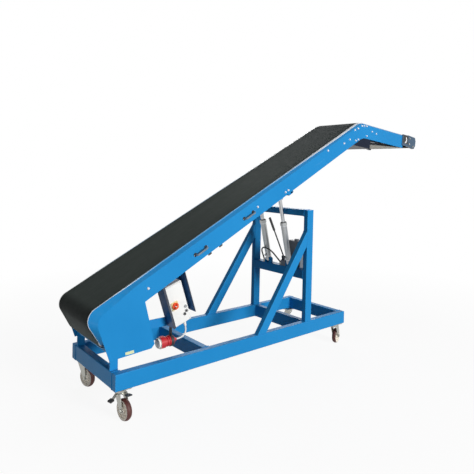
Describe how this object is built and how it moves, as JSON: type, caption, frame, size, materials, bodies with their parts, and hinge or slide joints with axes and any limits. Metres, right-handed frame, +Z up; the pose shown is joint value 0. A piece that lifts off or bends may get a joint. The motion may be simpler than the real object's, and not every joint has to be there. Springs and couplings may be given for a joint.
{
  "type": "mobile height-adjustable inclined belt conveyor",
  "caption": "Mobile inclined belt conveyor on swivel casters, with a hydraulic lift under its boom and a short level discharge nose.",
  "frame": {"origin": "on the floor under the middle of the whole machine", "axes": "+X runs up the boom towards the discharge nose, -Y is the operator's side, +Z is up"},
  "size_m": [3.4453, 0.734, 1.9199],
  "materials": {
    "blue_paint": "semi-gloss blue paint",
    "belt": "matt charcoal belt cover",
    "steel": "bright steel",
    "chrome_rod": "polished rod",
    "zinc": "zinc-plated pressings",
    "hub_plastic": "cream wheel centre",
    "tyre": "red-brown wheel tread",
    "box_plastic": "light grey box",
    "switch_red": "red and yellow switch",
    "button_black": "black push buttons",
    "plug_red": "red plug",
    "lead_grey": "light grey lead",
    "black_rubber": "black hose and grips",
    "dark_metal": "dark grey pump and tank"
  },
  "bodies": {
    "chassis": {"caster_top_plates": "zinc", "chassis_rail_left": "blue_paint", "chassis_rail_right": "blue_paint", "cross_members": "blue_paint", "hand_pump": "dark_metal", "hose_fittings": "zinc", "hydraulic_hose": "black_rubber", "mast_brace_left": "blue_paint", "mast_brace_right": "blue_paint", "mast_mid_bar": "blue_paint", "mast_post_left": "blue_paint", "mast_post_right": "blue_paint", "mast_top_bar": "blue_paint", "oil_tank": "dark_metal", "pivot_lugs": "blue_paint", "pivot_pin": "steel", "pump_lever": "black_rubber"},
    "boom": {"belt": "belt", "boom_cross_ties": "blue_paint", "control_box": "box_plastic", "control_channel": "blue_paint", "gear_motor": "dark_metal", "knee_guard": "blue_paint", "knee_snub_roller": "steel", "lead_gland": "box_plastic", "lift_beam": "blue_paint", "main_switch": "switch_red", "nose_bearings": "blue_paint", "nose_frame_left": "blue_paint", "nose_frame_right": "blue_paint", "nose_roller": "steel", "plug": "plug_red", "plug_clip": "zinc", "power_lead": "lead_grey", "push_buttons": "button_black", "return_roller": "steel", "side_frame_left": "blue_paint", "side_frame_right": "blue_paint", "slider_bed": "steel", "tail_drum": "steel", "tail_roller": "steel", "web_handles_left": "zinc", "web_handles_right": "zinc"},
    "swivel_low_right": {"caster_fork_low_right": "zinc"},
    "wheel_low_right": {"caster_hub_low_right": "hub_plastic", "caster_tyre_low_right": "tyre"},
    "swivel_low_left": {"caster_fork_low_left": "zinc"},
    "wheel_low_left": {"caster_hub_low_left": "hub_plastic", "caster_tyre_low_left": "tyre"},
    "swivel_high_right": {"caster_fork_high_right": "zinc"},
    "wheel_high_right": {"caster_hub_high_right": "hub_plastic", "caster_tyre_high_right": "tyre"},
    "swivel_high_left": {"caster_fork_high_left": "zinc"},
    "wheel_high_left": {"caster_hub_high_left": "hub_plastic", "caster_tyre_high_left": "tyre"},
    "barrel_right": {"lift_barrel_right": "steel"},
    "rod_right": {"lift_rod_right": "chrome_rod"},
    "barrel_left": {"lift_barrel_left": "steel"},
    "rod_left": {"lift_rod_left": "chrome_rod"}
  },
  "joints": [
    {"name": "boom_tilt", "type": "hinge", "parent": "chassis", "child": "boom", "pos_m": [-1.5676, 0, 0.382], "axis": [0, -1, 0], "range_deg": [-5.9, 4.5]},
    {"name": "barrel_swing_right", "type": "hinge", "parent": "chassis", "child": "barrel_right", "pos_m": [0.02739, -0.12, 0.71], "axis": [0, -1, 0], "range_deg": [-5.45, 4.15]},
    {"name": "rod_slide_right", "type": "slide", "parent": "barrel_right", "child": "rod_right", "axis": [-0.2393, 0, 0.971], "range_m": [-0.168, 0.128]},
    {"name": "barrel_swing_left", "type": "hinge", "parent": "chassis", "child": "barrel_left", "pos_m": [0.02739, 0.12, 0.71], "axis": [0, -1, 0], "range_deg": [-5.45, 4.15]},
    {"name": "rod_slide_left", "type": "slide", "parent": "barrel_left", "child": "rod_left", "axis": [-0.2393, 0, 0.971], "range_m": [-0.168, 0.128]},
    {"name": "swivel_turn_low_right", "type": "hinge", "parent": "chassis", "child": "swivel_low_right", "pos_m": [-1.5326, -0.27, 0.165], "axis": [0, 0, 1], "continuous": true},
    {"name": "wheel_spin_low_right", "type": "hinge", "parent": "swivel_low_right", "child": "wheel_low_right", "pos_m": [-1.52912, -0.30985, 0.0625], "axis": [-0.9962, -0.0872, 0], "continuous": true},
    {"name": "swivel_turn_low_left", "type": "hinge", "parent": "chassis", "child": "swivel_low_left", "pos_m": [-1.5326, 0.27, 0.165], "axis": [0, 0, 1], "continuous": true},
    {"name": "wheel_spin_low_left", "type": "hinge", "parent": "swivel_low_left", "child": "wheel_low_left", "pos_m": [-1.52225, 0.23136, 0.0625], "axis": [-0.9659, -0.2588, 0], "continuous": true},
    {"name": "swivel_turn_high_right", "type": "hinge", "parent": "chassis", "child": "swivel_high_right", "pos_m": [0.44739, -0.27, 0.165], "axis": [0, 0, 1], "continuous": true},
    {"name": "wheel_spin_high_right", "type": "hinge", "parent": "swivel_high_right", "child": "wheel_high_right", "pos_m": [0.48498, -0.25632, 0.0625], "axis": [0.342, -0.9397, 0], "continuous": true},
    {"name": "swivel_turn_high_left", "type": "hinge", "parent": "chassis", "child": "swivel_high_left", "pos_m": [0.44739, 0.27, 0.165], "axis": [0, 0, 1], "continuous": true},
    {"name": "wheel_spin_high_left", "type": "hinge", "parent": "swivel_high_left", "child": "wheel_high_left", "pos_m": [0.4274, 0.30464, 0.0625], "axis": [0.866, 0.5, 0], "continuous": true}
  ],
  "couplings": [
    {"joint": "barrel_swing_right", "follows": "boom_tilt", "ratio": 0.917},
    {"joint": "rod_slide_right", "follows": "boom_tilt", "m_per_rad": 1.626},
    {"joint": "barrel_swing_left", "follows": "boom_tilt", "ratio": 0.917},
    {"joint": "rod_slide_left", "follows": "boom_tilt", "m_per_rad": 1.626}
  ]
}
